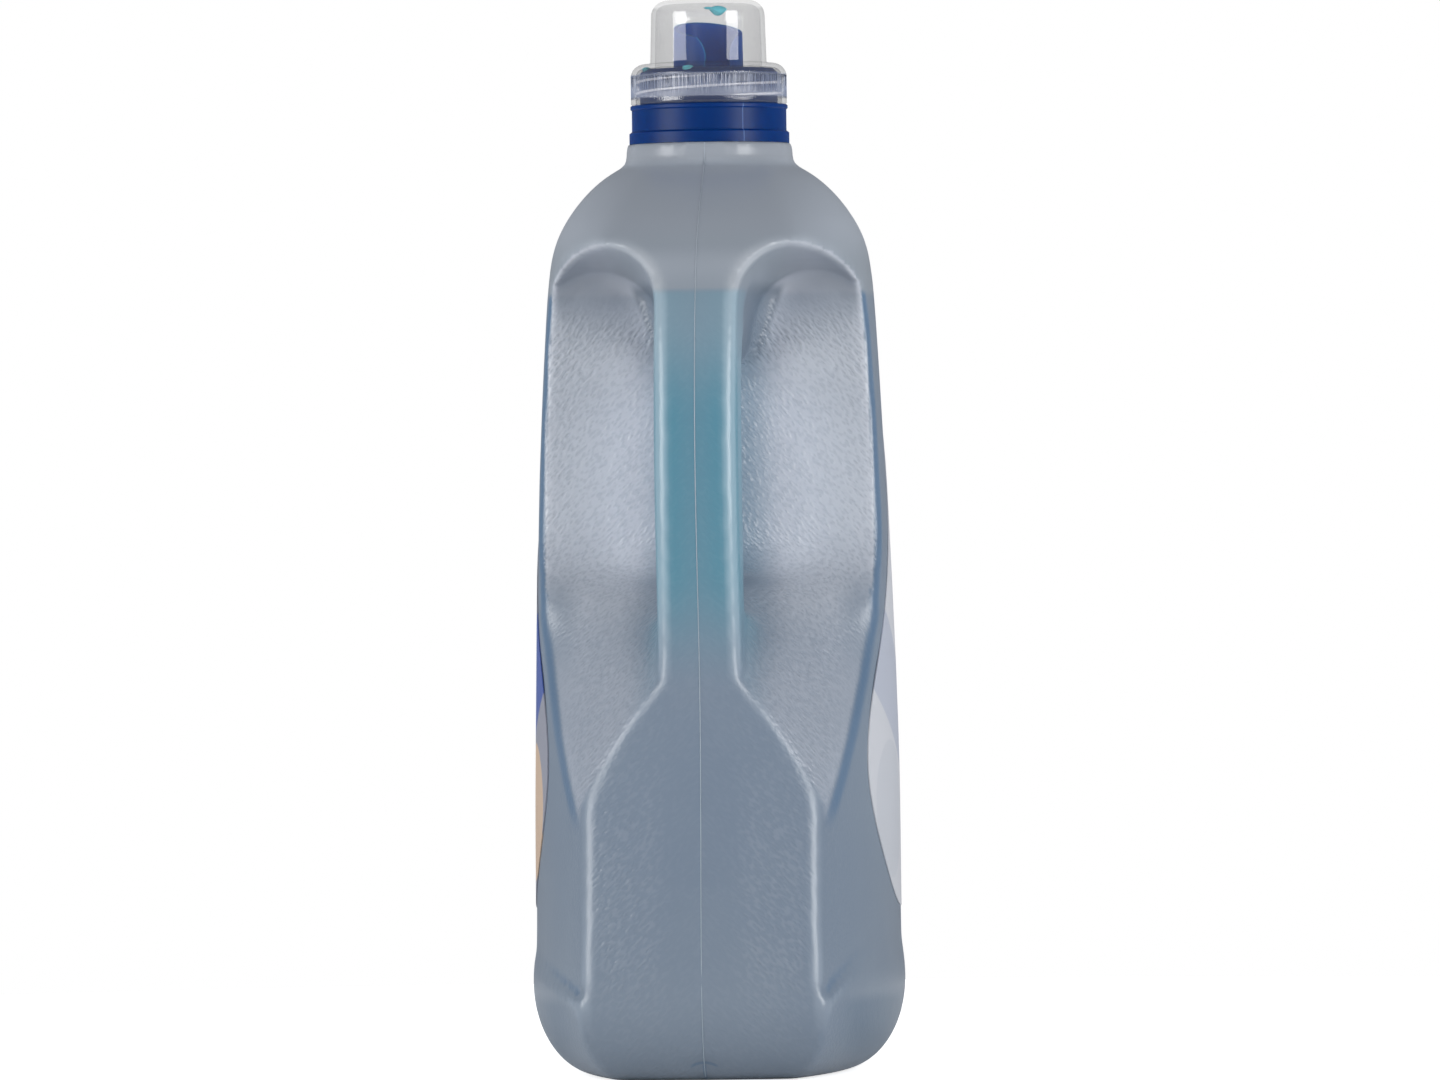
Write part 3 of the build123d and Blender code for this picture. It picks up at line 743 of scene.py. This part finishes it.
def relax(mesh, rounds, share):
    """Draws each vertex towards the middle of its neighbours, by its own share."""
    count = len(mesh.vertices)
    places = np.empty(count * 3)
    mesh.vertices.foreach_get("co", places)
    places = places.reshape(-1, 3)
    a, b = edge_links(mesh)
    around = np.bincount(a, minlength=count) + np.bincount(b, minlength=count)
    strength = share(places)[:, None]
    for _ in range(rounds):
        middle = np.empty_like(places)
        for axis in range(3):
            total = np.bincount(a, places[b, axis], count) + np.bincount(b, places[a, axis], count)
            middle[:, axis] = total / around
        places = places + RELAX_STEP * strength * (middle - places)
    mesh.vertices.foreach_set("co", places.ravel())
    mesh.update()


def smooth_step(value, low, high):
    """A smooth step from 0 at low to 1 at high, for arrays."""
    share = np.clip((value - low) / (high - low), 0, 1)
    return share * share * (3 - 2 * share)


def vertex_axes(places):
    """Where each vertex lies, in millimetres: towards the handle, to either side and up."""
    x, y, z = places.T / MM
    return {"x": x, "side": np.abs(y), "z": z}


def zone_share(axes, spans):
    """How far each vertex is inside a zone, from 0 to 1."""
    return np.prod([smooth_step(axes[axis], low, high) for axis, low, high in spans], axis=0)


def recess_share(places):
    """How much the recess beside the handle is softened, against the crisper base and neck."""
    crisp = CRISP_ROUNDS / SOFT_ROUNDS
    return crisp + (1 - crisp) * zone_share(vertex_axes(places), SOFT_ZONE)


def run_out_share(places):
    """Where the rib and the ramp run out into the far wall, which is softened further."""
    axes = vertex_axes(places)
    run_outs = np.maximum(zone_share(axes, RIB_RUN_OUT), zone_share(axes, SILL_RUN_OUT))
    return zone_share(axes, FAR_WALL_ZONE) * run_outs


def blown_jug(finish):
    """The jug with its ridges rounded as blowing rounds them, hollow as the solid is."""
    outer, inner = jug_skins()
    jug = new_piece("jug", outer, finish)
    voxels = jug.modifiers.new("voxels", "REMESH")
    voxels.mode = "VOXEL"
    voxels.voxel_size = VOXEL
    evaluated(jug)
    relax(jug.data, SOFT_ROUNDS, recess_share)
    relax(jug.data, RUN_OUT_ROUNDS, run_out_share)
    outline = middle_section(jug.data)
    cavity = new_piece("cavity", inner, finish)
    cut = jug.modifiers.new("cavity", "BOOLEAN")
    cut.operation = "DIFFERENCE"
    cut.solver = "MANIFOLD"
    cut.object = cavity
    evaluated(jug)
    bpy.data.objects.remove(cavity)
    jug.data.polygons.foreach_set("use_smooth", [True] * len(jug.data.polygons))
    mark_recess(jug.data)
    return jug, outline


def bend(mesh, places, facing):
    """How sharply the skin turns at each vertex, per millimetre: above zero on ridges, below in hollows."""
    a, b = edge_links(mesh)
    step = places[b] - places[a]
    square = np.maximum(np.sum(step * step, axis=1), SMALLEST_SQUARE)
    turn = np.sum((facing[b] - facing[a]) * step, axis=1) / square
    count = len(places)
    around = np.bincount(a, minlength=count) + np.bincount(b, minlength=count)
    turns = (np.bincount(a, turn, count) + np.bincount(b, turn, count)) / around
    for _ in range(BEND_ROUNDS):
        turns = (np.bincount(a, turns[b], count) + np.bincount(b, turns[a], count)) / around
    return turns


def skin_axes(mesh):
    """Where each vertex lies and faces, how its skin bends, and how far it is from the lines of the foot."""
    count = len(mesh.vertices)
    places, facing = np.empty(count * 3), np.empty(count * 3)
    mesh.vertices.foreach_get("co", places)
    mesh.vertex_normals.foreach_get("vector", facing)
    places, facing = places.reshape(-1, 3), facing.reshape(-1, 3)
    axes = vertex_axes(places)
    ahead, aside, up = facing.T
    turns = bend(mesh, places / MM, facing)
    past_ridge = axes["side"] - np.interp(axes["z"], FOOT_HEIGHTS, FOOT_RIDGE)
    past_rim = axes["side"] - np.interp(axes["z"], FOOT_HEIGHTS, FOOT_RIM)
    axes.update(ahead=ahead, out=aside * np.sign(places[:, 1]), tilt=np.abs(up), down=-up)
    axes.update(turn=turns, hollow=-turns)
    axes.update(past_ridge=past_ridge, to_rim=-past_rim, off_rim=np.abs(past_rim - RIM_LINE_SHIFT))
    return axes


def mark_recess(mesh):
    """Marks the walls beside the handle, the turned-over rim round them and the ridges, for the finish."""
    axes = skin_axes(mesh)
    above_foot = zone_share(axes, ABOVE_FOOT_ZONE)
    sharp = zone_share(axes, SHARP_ZONE)
    outer = zone_share(axes, OUTER_ZONE)
    wall = above_foot * zone_share(axes, WALL_ZONE) + (1 - above_foot) * zone_share(axes, FOOT_WALL_ZONE)
    upper_rim = sharp * outer * zone_share(axes, RIM_ZONE)
    rim = above_foot * upper_rim + (1 - above_foot) * zone_share(axes, FOOT_RIM_ZONE)
    # The step's dark line is painted shade
    rim = np.maximum(rim, STEP_SHADE_SHARE * zone_share(axes, STEP_ZONE))
    upright = np.maximum(zone_share(axes, HIGH_ZONE), zone_share(axes, UPRIGHT_ZONE))
    # The ridge mark places the painted highlight
    ridge = sharp * (1 - outer) * upright * zone_share(axes, RIDGE_ZONE)
    recess = zone_share(axes, INSIDE_ZONE) * wall * (1 - rim)
    marks = {"recess": recess, "rim": rim, "ridge": ridge, "under": zone_share(axes, UNDER_ZONE)}
    for name, values in marks.items():
        mesh.attributes.new(name, "FLOAT", "POINT").data.foreach_set("value", values)


def middle_section(mesh):
    """The jug's outline on its middle plane, between the standing ring and the spout."""
    shape = bmesh.new()
    shape.from_mesh(mesh)
    everything = shape.verts[:] + shape.edges[:] + shape.faces[:]
    bmesh.ops.bisect_plane(
        shape, geom=everything, dist=MERGE, plane_co=(0, 0, 0), plane_no=(0, 1, 0),
        clear_inner=True, clear_outer=True,
    )
    outside = [v for v in shape.verts if v.co.z > flange_z - SEAM_GAP or v.co.z < SEAM_LOW]
    bmesh.ops.delete(shape, geom=outside, context="VERTS")
    inset = SEAM_BEAD + SEAM_CLEARANCE
    for vertex in shape.verts:
        vertex.co.x = min(max(vertex.co.x, cad_box[0][0] + inset), cad_box[1][0] - inset)
    return mesh_of(shape, "section")


def node_tree(name, inputs):
    """An empty geometry tree with a mesh in, a mesh out and named sizes."""
    tree = bpy.data.node_groups.new(name, "GeometryNodeTree")
    tree.interface.new_socket("Geometry", in_out="INPUT", socket_type="NodeSocketGeometry")
    tree.interface.new_socket("Geometry", in_out="OUTPUT", socket_type="NodeSocketGeometry")
    for label, kind in inputs.items():
        tree.interface.new_socket(label, in_out="INPUT", socket_type=kind)
    return tree, tree.nodes.new("NodeGroupInput"), tree.nodes.new("NodeGroupOutput")


def finish_tree(tree, geometry, given, made):
    """Ends a geometry tree: its result made real and given its finish."""
    real = tree.nodes.new("GeometryNodeRealizeInstances")
    coat = tree.nodes.new("GeometryNodeSetMaterial")
    tree.links.new(geometry, real.inputs["Geometry"])
    tree.links.new(real.outputs["Geometry"], coat.inputs["Geometry"])
    tree.links.new(given.outputs["Finish"], coat.inputs["Material"])
    tree.links.new(coat.outputs["Geometry"], made.inputs["Geometry"])
    return tree


def grow(piece, tree, **values):
    """Runs a geometry tree on a piece and keeps the result as a plain mesh."""
    modifier = piece.modifiers.new(tree.name, "NODES")
    modifier.node_group = tree
    for item in tree.interface.items_tree:
        label = item.name.lower()
        if item.in_out == "INPUT" and label in values:
            modifier[item.identifier] = values[label]
    piece.update_tag()
    return evaluated(piece)


def parting_line_tree():
    """Sweeps a thin bead along the outline."""
    sizes = {"Bead": "NodeSocketFloat", "Spacing": "NodeSocketFloat", "Finish": "NodeSocketMaterial"}
    tree, given, made = node_tree("parting_line", sizes)
    link = tree.links.new
    path = tree.nodes.new("GeometryNodeMeshToCurve")
    even = tree.nodes.new("GeometryNodeResampleCurve")
    even.mode = "LENGTH"
    ring = tree.nodes.new("GeometryNodeCurvePrimitiveCircle")
    ring.inputs["Resolution"].default_value = SEAM_SIDES
    sweep = tree.nodes.new("GeometryNodeCurveToMesh")
    sweep.inputs["Fill Caps"].default_value = True
    link(given.outputs["Geometry"], path.inputs["Mesh"])
    link(path.outputs["Curve"], even.inputs["Curve"])
    link(given.outputs["Spacing"], even.inputs["Length"])
    link(given.outputs["Bead"], ring.inputs["Radius"])
    link(even.outputs["Curve"], sweep.inputs["Curve"])
    link(ring.outputs["Curve"], sweep.inputs["Profile Curve"])
    return finish_tree(tree, sweep.outputs["Mesh"], given, made)


def knurl_tree():
    """Presses upright ribs into the outside of a turned skirt, between two heights."""
    sizes = {name: "NodeSocketFloat" for name in ("Ribs", "Depth", "Low", "High", "Inside")}
    tree, given, made = node_tree("knurl", sizes | {"Finish": "NodeSocketMaterial"})
    link = tree.links.new

    def work_out(operation, *values):
        step = tree.nodes.new("ShaderNodeMath")
        step.operation = operation
        for socket, value in zip(step.inputs, values):
            if isinstance(value, bpy.types.NodeSocket):
                link(value, socket)
            else:
                socket.default_value = value
        return step.outputs[0]

    place = tree.nodes.new("GeometryNodeInputPosition")
    split = tree.nodes.new("ShaderNodeSeparateXYZ")
    link(place.outputs[0], split.inputs[0])
    x, y, z = split.outputs
    reach = work_out("SQRT", work_out("ADD", work_out("MULTIPLY", x, x), work_out("MULTIPLY", y, y)))
    wave = work_out("COSINE", work_out("MULTIPLY", work_out("ARCTAN2", y, x), given.outputs["Ribs"]))
    hollow = work_out("MULTIPLY", work_out("SUBTRACT", 1.0, wave), 0.5)
    above = work_out("GREATER_THAN", z, given.outputs["Low"])
    below = work_out("LESS_THAN", z, given.outputs["High"])
    outside = work_out("GREATER_THAN", reach, given.outputs["Inside"])
    where = work_out("MULTIPLY", work_out("MULTIPLY", above, below), outside)
    press = work_out("MULTIPLY", work_out("MULTIPLY", hollow, where), given.outputs["Depth"])
    inward = work_out("DIVIDE", work_out("MULTIPLY", press, -1.0), work_out("MAXIMUM", reach, MERGE))
    offset = tree.nodes.new("ShaderNodeCombineXYZ")
    link(work_out("MULTIPLY", x, inward), offset.inputs["X"])
    link(work_out("MULTIPLY", y, inward), offset.inputs["Y"])
    shift = tree.nodes.new("GeometryNodeSetPosition")
    link(given.outputs["Geometry"], shift.inputs["Geometry"])
    link(offset.outputs[0], shift.inputs["Offset"])
    return finish_tree(tree, shift.outputs["Geometry"], given, made)


def arc(middle, radius, start, stop, steps):
    """Points on a round between two angles in degrees."""
    turns = [math.radians(start + (stop - start) * i / steps) for i in range(steps + 1)]
    return [(middle[0] + radius * math.cos(t), middle[1] + radius * math.sin(t)) for t in turns]


def cap_outline():
    """Half section of the cap as points, up the outside and down the inside."""
    top, low = cap_high.z, cap_low.z
    skirt_in = SKIRT_R - SKIRT_WALL
    outside = [(skirt_in + SKIRT_EDGE, low), (SKIRT_R - SKIRT_EDGE, low), (SKIRT_R, low + SKIRT_EDGE)]
    rib_rows = (RIB_LOW - RIB_FOOT, RIB_LOW + RIB_FOOT, RIB_HIGH - RIB_HEAD, LEDGE_Z - SKIRT_ROUND)
    outside += [(SKIRT_R, z) for z in rib_rows]
    outside += arc((SKIRT_R - SKIRT_ROUND, LEDGE_Z - SKIRT_ROUND), SKIRT_ROUND, 12, 90, 7)
    outside += arc((CUP_R + CUP_FOOT, LEDGE_Z + CUP_FOOT), CUP_FOOT, 270, 190, 4)
    outside += arc((CUP_TOP_R - CUP_ROUND, top - CUP_ROUND), CUP_ROUND, 0, 90, 8)
    outside += [(DISH_SHARE * CUP_R, top - 0.5 * CUP_DISH), (0.0, top - CUP_DISH)]
    cup_top_in, ledge_in = top - CUP_WALL, LEDGE_Z - CUP_WALL
    edge_in = CUP_TOP_R - CUP_WALL
    round_in = CUP_ROUND - CUP_WALL
    inside = [(0.0, cup_top_in - CUP_DISH), (DISH_SHARE * CUP_R, cup_top_in - 0.5 * CUP_DISH)]
    inside += arc((edge_in - round_in, cup_top_in - round_in), round_in, 90, 0, 6)
    inside += [(CUP_R - CUP_WALL, ledge_in)]
    ledge_round = SKIRT_ROUND - SKIRT_WALL
    inside += arc((skirt_in - ledge_round, ledge_in - ledge_round), ledge_round, 90, 8, 5)
    rows = [(skirt_in, z) for z in np.arange(THREAD_HIGH, THREAD_LOW, -THREAD_ROW)]
    return outside + inside + rows + [(skirt_in, low + SKIRT_EDGE)]


def on_thread(turn, z):
    """Height of the thread inside the skirt at a place on its wall, from 0 to 1."""
    pitch = THREAD_LEAD / THREAD_STARTS
    run = (z - THREAD_LOW - THREAD_LEAD * turn / math.tau) % pitch
    away = np.minimum(run, pitch - run)
    fade = np.clip((THREAD_HIGH - z) / MM, 0, 1) * np.clip((z - THREAD_LOW) / MM, 0, 1)
    return np.clip(THREAD_FLAT - THREAD_FLAT * away / THREAD_HALF, 0, 1) * fade


def dosing_cap(finish):
    """The turned two-step cap with its thread inside and knurl outside."""
    outline = np.array(cap_outline())
    steps = RIBS * RIB_STEPS
    turn = np.arange(steps) * math.tau / steps
    reach = np.repeat(outline[:, 0][:, None], steps, axis=1)
    height = np.repeat(outline[:, 1][:, None], steps, axis=1)
    inner_wall = np.abs(outline[:, 0] - (SKIRT_R - SKIRT_WALL)) < TINY
    threaded = inner_wall & (outline[:, 1] > THREAD_LOW) & (outline[:, 1] < THREAD_HIGH + TINY)
    reach[threaded] -= THREAD_DEPTH * on_thread(turn[None, :], height[threaded])
    places = np.stack([reach * np.cos(turn), reach * np.sin(turn), height], axis=-1).reshape(-1, 3)
    rows = len(outline)
    row, column = np.meshgrid(np.arange(rows), np.arange(steps), indexing="ij")
    across, up = (column + 1) % steps, (row + 1) % rows
    corners = [row * steps + column, row * steps + across, up * steps + across, up * steps + column]
    faces = np.stack(corners, axis=-1).reshape(-1, 4)
    turned = bpy.data.meshes.new("turned_cap")
    turned.from_pydata(places.tolist(), [], faces.tolist())
    shape = bmesh.new()
    shape.from_mesh(turned)
    bpy.data.meshes.remove(turned)
    bmesh.ops.remove_doubles(shape, verts=shape.verts, dist=TINY)
    bmesh.ops.recalc_face_normals(shape, faces=shape.faces)
    cap = new_piece("dosing_cup", mesh_of(shape, "dosing_cup"), finish)
    sizes = {"ribs": float(RIBS), "depth": RIB_DEPTH, "low": RIB_LOW, "high": RIB_HIGH}
    return grow(cap, knurl_tree(), inside=SKIRT_R - RIB_SKIN, finish=finish, **sizes)


def drop(name, middle, size, seed, finish):
    """An uneven hanging drop of detergent, narrower below."""
    shape = bmesh.new()
    bmesh.ops.create_icosphere(shape, subdivisions=4, radius=1.0)
    for vertex in shape.verts:
        x, y, z = vertex.co
        lump = 1 + LUMPS * math.sin(3 * x + seed) * math.cos(2.6 * y + 1.7 * seed)
        lump += RIPPLES * math.sin(5 * z + seed)
        lump *= DROP_TIP + (1 - DROP_TIP) * min(1.0, 0.5 * (z + 1.3))
        vertex.co = middle + Vector((x * size[0] * lump, y * size[1] * lump, z * size[2]))
    return new_piece(name, mesh_of(shape, name), finish)


def residue(finish):
    """Drops on the inner wall of the cup, near its top, and under the ledge of the cap."""
    pieces = []
    for level, drops in ((cap_high.z - CUP_WALL, TOP_DROPS), (LEDGE_Z - CUP_WALL, LEDGE_DROPS)):
        for name, (place, size, seed) in drops.items():
            middle = Vector(place) * MM + Vector((0, 0, level))
            pieces.append(drop(name, middle, Vector(size) * MM, seed, finish))
    return pieces


def softbox(name, turn, half_angle, radiance, distance, height, middle_z, in_gloss=True):
    """A tall panel lamp that fills an angle as seen from the bottle, mirrored in its gloss or not."""
    width = 2 * distance * math.tan(math.radians(half_angle))
    lamp = bpy.data.lights.new(name, "AREA")
    lamp.shape = "RECTANGLE"
    lamp.size = width
    lamp.size_y = height
    lamp.energy = radiance * math.pi * width * height
    panel = bpy.data.objects.new(name, lamp)
    azimuth = math.radians(EYE_AZIMUTH + turn)
    back = Vector((math.sin(azimuth), -math.cos(azimuth), 0))
    panel.location = back * distance + Vector((0, 0, middle_z))
    panel.rotation_euler = back.to_track_quat("Z", "Y").to_euler()
    panel.visible_glossy = in_gloss
    bpy.context.scene.collection.objects.link(panel)


def lights():
    """Two tall softboxes beside the camera, as their strips in the cap show, and weak ones behind."""
    softbox("softbox_left", **LEFT_LAMP, **FRONT_SIZES)
    softbox("softbox_right", **RIGHT_LAMP, **FRONT_SIZES)
    softbox("softbox_back_left", -BACK_TURN, **BACK_LAMP, **BACK_SIZES)
    softbox("softbox_back_right", BACK_TURN, **BACK_LAMP, **BACK_SIZES)


def backdrop():
    """White to the camera, through clear plastic too, and a plain grey light for everything else."""
    world = bpy.data.worlds.new("backdrop")
    bpy.context.scene.world = world
    world.use_nodes = True
    tree = world.node_tree
    link = tree.links.new
    path = tree.nodes.new("ShaderNodeLightPath")
    seen = tree.nodes.new("ShaderNodeMath")
    seen.operation = "MAXIMUM"
    link(path.outputs["Is Camera Ray"], seen.inputs[0])
    link(path.outputs["Is Transmission Ray"], seen.inputs[1])
    tone = tree.nodes.new("ShaderNodeMix")
    tone.data_type = "RGBA"
    tone.inputs["A"].default_value = AMBIENT
    tone.inputs["B"].default_value = WHITE
    link(seen.outputs[0], tone.inputs["Factor"])
    mixed = [socket for socket in tone.outputs if socket.type == "RGBA"][0]
    link(mixed, tree.nodes["Background"].inputs["Color"])


def floor():
    """A pale round floor that keeps the bottle's shadow and is white where it is lit."""
    shape = bmesh.new()
    bmesh.ops.create_circle(shape, cap_ends=True, segments=FLOOR_SIDES, radius=FLOOR_R)
    bmesh.ops.translate(shape, verts=shape.verts, vec=(0, 0, -FLOOR_DROP))
    mesh = mesh_of(shape, "floor")
    finish = Finish("floor_white", Roughness=0.9, Base_Color=FLOOR_TONE)
    glow = finish.node("ShaderNodeEmission")
    path = finish.node("ShaderNodeLightPath")
    strength = finish.math("MULTIPLY", path.outputs["Is Camera Ray"], FLOOR_GLOW)
    finish.feed(glow.inputs["Strength"], strength)
    both = finish.node("ShaderNodeAddShader")
    finish.feed(both.inputs[0], finish.shader.outputs["BSDF"])
    finish.feed(both.inputs[1], glow.outputs["Emission"])
    finish.feed(finish.output.inputs["Surface"], both.outputs[0])
    new_piece("floor", mesh, finish.material, smooth=False)


def camera():
    """A long lens on the handle's end, level, with the photograph's slight turn and roll."""
    turn = math.radians(EYE_AZIMUTH)
    back = Vector((math.sin(turn), -math.cos(turn), 0))
    right = Vector((math.cos(turn), math.sin(turn), 0))
    lens = bpy.data.cameras.new("eye")
    lens.sensor_width = SENSOR
    lens.lens = SENSOR * EYE_DISTANCE / VIEW_WIDTH
    lens.clip_end = EYE_REACH
    eye = bpy.data.objects.new("eye", lens)
    eye.location = right * AIM_RIGHT + Vector((0, 0, EYE_Z)) + back * EYE_DISTANCE
    eye.rotation_mode = "QUATERNION"
    eye.rotation_quaternion = (-back).to_track_quat("-Z", "Y") @ Quaternion((0, 0, 1), -ROLL)
    bpy.context.scene.collection.objects.link(eye)
    bpy.context.scene.camera = eye


def dress(node, finish):
    """Gives a CAD node its finish."""
    nodes[node].data.materials.clear()
    nodes[node].data.materials.append(finish)


camera()
jug, outline = blown_jug(jug_plastic())
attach(jug, "jug")
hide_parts("bottle")

seam_finish = seam_plastic()
seam = new_piece("parting_line", outline, seam_finish)
grow(seam, parting_line_tree(), bead=SEAM_BEAD, spacing=SEAM_SPACING, finish=seam_finish)
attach(seam, "jug")

cap = dosing_cap(cap_clear())
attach(cap, "cap")
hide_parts("dosing_cap")
for piece in residue(residue_teal()):
    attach(piece, "cap")

dress("pour_spout", spout_blue())
dress("detergent", liquid_blue())
dress("front_label", label_film("front_film", *FRONT_PRINT))
dress("back_label", label_film("back_film", *BACK_PRINT))

lights()
backdrop()
floor()
bpy.context.scene.view_settings.view_transform = "Standard"
